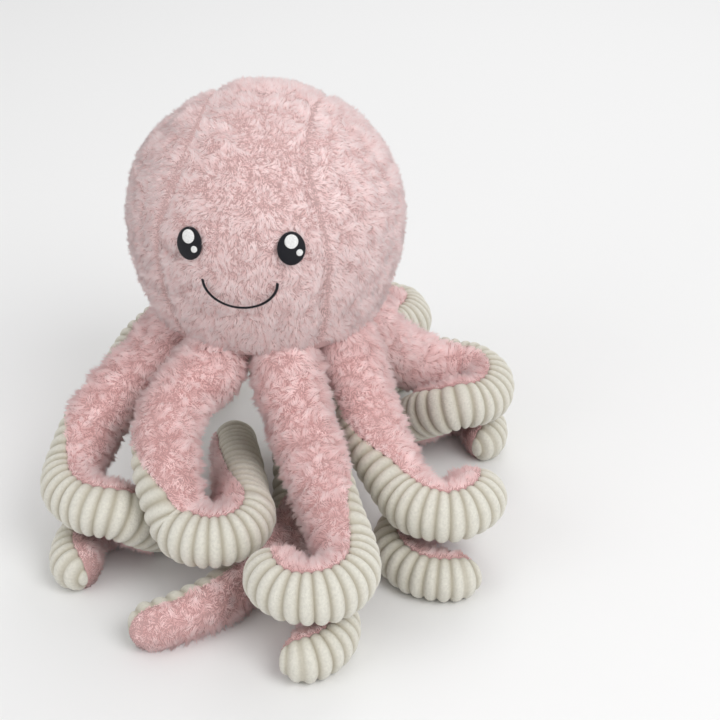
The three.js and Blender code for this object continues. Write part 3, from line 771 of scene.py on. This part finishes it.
class Arm:
    """The middle line of an arm, with the way its ribbed side faces."""

    def __init__(self, arm):
        self.name = f"{arm['name']}_arm"
        self.root = root_of(arm)
        points, leg = route_of(arm, self.root)
        self.line, self.way = smooth_line(points)
        self.leg = leg or self.way[-1]
        self.centre = np.array([*arm["centre"], 0]) if "centre" in arm else None
        self.lumps = waves(6, ARM_LUMP, ARM_LUMP_SPAN)
        self.creases = np.linspace(12, 190, CREASES) + RNG.uniform(-6, 6, CREASES)
        self.crease_turn = RNG.uniform(2.2, 4.1, CREASES)

    def frames(self, along):
        """Middle points, directions, ribbed side and the third way, at distances from the root."""
        _, heading, below, start = self.root
        inside = np.clip(along, 0, self.way[-1])
        place = np.stack([np.interp(inside, self.way, self.line[:, k]) for k in range(3)], -1)
        place = np.where((along < 0)[:, None], start + heading * along[:, None], place)
        ahead = np.stack([np.interp(inside + 0.5, self.way, self.line[:, k]) for k in range(3)], -1)
        behind = np.stack([np.interp(inside - 0.5, self.way, self.line[:, k]) for k in range(3)], -1)
        tangent = np.where((along <= 0.5)[:, None], heading, unit(ahead - behind))
        turned = smoothstep(along / self.leg, *TWIST)[:, None]
        if self.centre is None:
            outward = unit(np.stack([tangent[:, 1], -tangent[:, 0], 0 * along], -1))
        else:
            outward = unit((place - self.centre) * (1, 1, 0))
        aim = below * (1 - turned) + outward * turned
        cream = unit(aim - tangent * (aim * tangent).sum(-1, keepdims=True))
        return place, tangent, cream, np.cross(tangent, cream)

    def radius(self, along):
        """Radius with the rounded tip."""
        past = np.clip((along - (ARM_LENGTH - TIP_RADIUS)) / TIP_RADIUS, 0, 1)
        return arm_radius(np.clip(along, 0, ARM_LENGTH)) * np.sqrt(1 - past ** 2)

    def skin(self, along, angle, proud):
        """Points at distances along, angles from the ribbed side and heights over the cloth."""
        place, _, cream, side = self.frames(along)
        r = self.radius(along)[:, None]
        way = np.cos(angle)[..., None] * cream[:, None] + np.sin(angle)[..., None] * side[:, None]
        bare = place[:, None] + way * r[..., None]
        fill = np.clip(r / CURL_RADIUS, 0, 1)
        height = proud * np.minimum(1, r / 6) + self.lumps(bare) * fill
        height = height + ROOT_PUFF * np.exp(-((along[:, None] - 20) / 16) ** 2)
        for at, turn in zip(self.creases, self.crease_turn):
            bend = at + CREASE_BOW * np.sin(angle - turn)
            deep = CREASE * np.clip(np.cos(angle - turn), 0, 1)
            height = height - deep * fill * np.exp(-((along[:, None] - bend) / CREASE_WIDTH) ** 2)
        points = bare + way * height[..., None]
        points[..., 2] = np.maximum(points[..., 2], CLOTH_LOWEST)
        return points + AXIS, way


def ribbed_half(along):
    """Angle from the middle of the ribbed side to its edge, which is narrow at the root."""
    share = smoothstep(along, 0, RIBBED_FULL_AT)
    return np.radians(RIBBED_AT_ROOT + (90 - RIBBED_AT_ROOT) * share)


def with_tip(along):
    """Places along an arm, with closer ones round its tip."""
    body = along[along < ARM_LENGTH - TIP_RADIUS]
    tip = ARM_LENGTH - TIP_RADIUS + TIP_RADIUS * np.sin(np.radians(np.linspace(0, 89, 18)))
    return np.concatenate([body, tip])


def follow(piece):
    """Bakes the piece's transform into its points; the piece is not parented to the head or the arm."""
    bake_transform(piece)


def make_underside(arm):
    """Ribbed cloth: ribs across the arm, evenly spaced along its outer side, with a scalloped edge."""
    fine = np.arange(-4, ARM_LENGTH - 0.2, 0.4)
    place, _, cream, _ = arm.frames(fine)
    outer = place + cream * arm.radius(fine)[:, None]
    way = np.concatenate([[0], np.cumsum(np.linalg.norm(np.diff(outer, axis=0), axis=1))])
    along = with_tip(np.interp(np.arange(0, way[-1], RIB_PITCH / RIB_SAMPLES), way, fine))
    even = np.interp(along, fine, way)
    phase = even / RIB_PITCH + 0.12 * waves(4, 1.0, 9)(np.stack([even / RIB_PITCH] * 3, -1))
    rib = 1 - np.abs(2 * (phase % 1) - 1) ** 2.4
    columns = 25
    across = np.linspace(-1, 1, columns)[None]
    half = (ribbed_half(along) + np.radians(5 * rib - 2))[:, None]
    edge = 1 - np.abs(across) ** 6
    proud = (RIB_HEIGHT * rib[:, None] - RIB_SINK) * (0.35 + 0.65 * edge) - 1.2 * np.abs(across) ** 10
    points, _ = arm.skin(along, across * half, proud)
    inner, _ = arm.skin(along, across * half, proud * 0 - COVER - 0.8)
    name = f"{arm.name}_ribbed"
    piece = new_piece(name, *shell(points, inner), RIBBED)
    # The rib value sets painted shade: low in the grooves and towards the panel's sunk edges.
    set_values(piece, "rib", np.tile((rib[:, None] * (0.4 + 0.6 * edge)).ravel(), 2))
    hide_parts(f"{arm.name}_underside")
    follow(piece)


def make_top(arm):
    """Pile side: its cloth, and the strands on it."""
    along = with_tip(np.arange(-4, ARM_LENGTH, 2.0))
    share = np.linspace(-1, 1, 29)[None]
    across = np.pi + share * (np.pi - ribbed_half(along) - np.radians(1))[:, None]
    edge = -1.2 * np.abs(share) ** 8 + 0 * along[:, None]
    points, _ = arm.skin(along, across, edge)
    inner, _ = arm.skin(along, across, edge - COVER)
    piece = new_piece(f"{arm.name}_pile_cloth", *shell(points, inner), ARM_CLOTH_SHADED)
    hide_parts(f"{arm.name}_top")
    follow(piece)
    area = math.pi * float(arm.radius(along).mean()) * ARM_LENGTH
    make_arm_pile(arm, int(area / ARM_STRAND_AREA))


def make_arm_pile(arm, count):
    places = np.arange(-6, ARM_LENGTH, 1.0)
    share = np.maximum(arm.radius(places), TIP_RADIUS / 2) * (np.pi - ribbed_half(places))
    along = RNG.choice(places, count, p=share / share.sum()) + RNG.uniform(0, 1, count)
    aside = RNG.uniform(-1, 1, count)
    angle = np.pi + aside * (np.pi - ribbed_half(along))
    roots, way = arm.skin(along, angle[:, None], np.zeros((count, 1)))
    roots, normal = roots[:, 0], way[:, 0]
    _, tangent, _, _ = arm.frames(along)
    lean = 0.6 * tangent + ruffle(roots, tangent, np.cross(normal, tangent))
    pointing = unit(normal + 0.8 * lean + RNG.normal(0, 0.2, roots.shape))
    length = ARM_PILE * RNG.uniform(0.65, 1.15, count)
    length *= 0.35 + 0.65 * smoothstep(ARM_LENGTH - along, 0, 40)
    length *= 0.55 + 0.45 * smoothstep(1 - np.abs(aside), 0.02, 0.25)
    pointing, length, tone_and_shade = tufted(roots, pointing, length, ARM_TUFT)
    piece = strands(f"{arm.name}_pile", roots, normal, pointing, length, tone_and_shade, ARM_PILE_LOOK)
    follow(piece)


def make_fibre(arm):
    """The filling inside an arm."""
    along = np.linspace(0, ARM_LENGTH - 6, 90)
    angle = np.linspace(0, 2 * np.pi, 20, endpoint=False)[None] + 0 * along[:, None]
    points, _ = arm.skin(along, angle, 0 * angle - COVER - 3.0)
    rows, columns = points.shape[:2]
    cap = np.arange(columns)
    faces = [grid_faces(rows, columns, wrap=True), cap[None, ::-1], cap[None] + (rows - 1) * columns]
    piece = new_piece(f"{arm.name}_fibre", points.reshape(-1, 3), faces, FIBRE_LOOK)
    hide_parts(f"{arm.name}_filling")
    follow(piece)


# Stage

def make_stage():
    mesh = bpy.data.meshes.new("floor")
    r = FLOOR_REACH
    mesh.from_pydata([(-r, -r, 0), (r, -r, 0), (r, r, 0), (-r, r, 0)], [], [(0, 1, 2, 3)])
    floor = bpy.data.objects.new("floor", mesh)
    bpy.context.scene.collection.objects.link(floor)
    material, _, shader = new_material("floor", 1.0, 0.0)
    shader.inputs["Base Color"].default_value = linear(FLOOR)
    mesh.materials.append(material)


def add_light(name, at, towards, size, power):
    data = bpy.data.lights.new(name, "AREA")
    data.shape = "DISK"
    data.size = size
    data.energy = power
    light = bpy.data.objects.new(name, data)
    light.location = at
    light.rotation_euler = (Vector(towards) - Vector(at)).to_track_quat("-Z", "Y").to_euler()
    bpy.context.scene.collection.objects.link(light)


def make_lights():
    for name, at, size, power in LAMPS:
        add_light(name, at, LAMPS_AIM, size, power)
    world = bpy.data.worlds.new("studio")
    bpy.context.scene.world = world
    world.use_nodes = True
    world.node_tree.nodes["Background"].inputs["Color"].default_value = (1, 1, 1, 1)
    world.node_tree.nodes["Background"].inputs["Strength"].default_value = WORLD_LIGHT


def make_camera():
    data = bpy.data.cameras.new("camera")
    data.lens = LENS
    data.sensor_width = 36
    camera = bpy.data.objects.new("camera", data)
    camera.location = (np.array(CAMERA_AT) + AXIS) * MM
    camera.rotation_euler = Vector(CAMERA_ALONG).to_track_quat("-Z", "Y").to_euler()
    bpy.context.scene.collection.objects.link(camera)
    bpy.context.scene.camera = camera


make_camera()
make_stage()
make_lights()
make_head()
make_face()
for row in ARMS:
    this = Arm(row)
    make_underside(this)
    make_top(this)
    make_fibre(this)
bpy.context.scene.view_settings.view_transform = "Standard"
